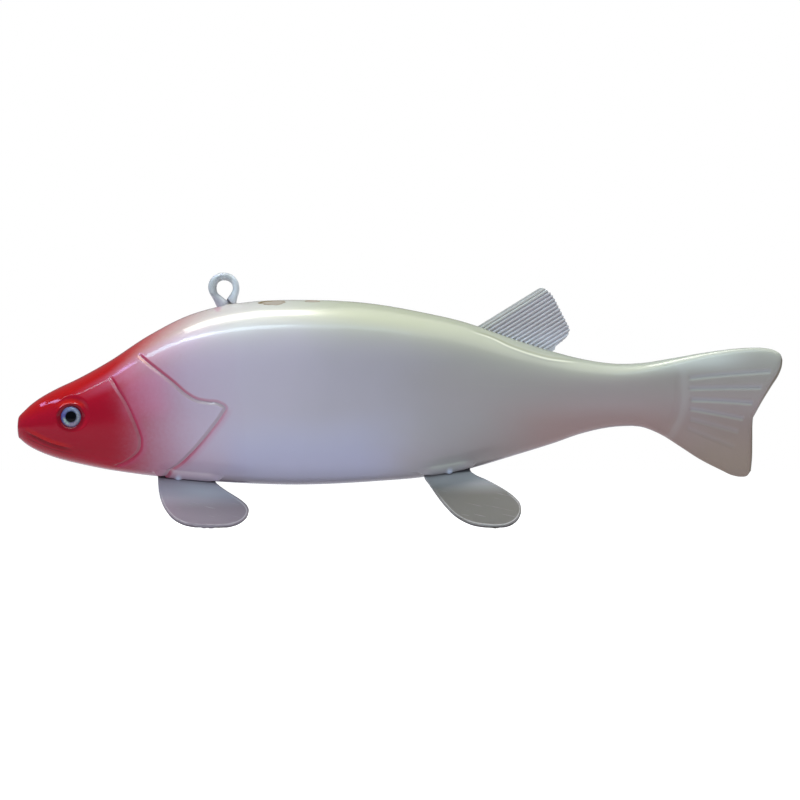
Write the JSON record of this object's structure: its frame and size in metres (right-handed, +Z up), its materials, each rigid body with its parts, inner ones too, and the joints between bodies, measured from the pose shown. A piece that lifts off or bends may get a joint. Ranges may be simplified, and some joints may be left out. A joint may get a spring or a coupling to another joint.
{
  "type": "fish decoy",
  "caption": "Carved, painted wooden fish decoy with a screw eye in its back, a fluted sheet-metal dorsal fin and splayed sheet-metal side fins that it stands on.",
  "frame": {"origin": "middle of the bounding box on the surface that the side fins stand on", "axes": "+X from the head towards the tail, +Y towards the fish's right flank, +Z up through the back; the flank that the picture shows faces -Y"},
  "size_m": [0.2032, 0.0374, 0.0679],
  "materials": {
    "painted_wood": "carved wood under glossy pearl white paint, red head",
    "painted_tin": "satin silver paint on sheet metal",
    "crimped_tin": "satin silver paint on crimped sheet metal",
    "painted_wire": "silver paint on steel wire",
    "eye_gloss": "glossy domed eye, silver iris round a black pupil"
  },
  "bodies": {
    "root": {"body": "painted_wood", "screw_eye": "painted_wire", "dorsal_fin": "crimped_tin", "pectoral_fin_left": "painted_tin", "pectoral_fin_right": "painted_tin", "pelvic_fin_left": "painted_tin", "pelvic_fin_right": "painted_tin", "eye_left": "eye_gloss", "eye_right": "eye_gloss"}
  },
  "joints": []
}
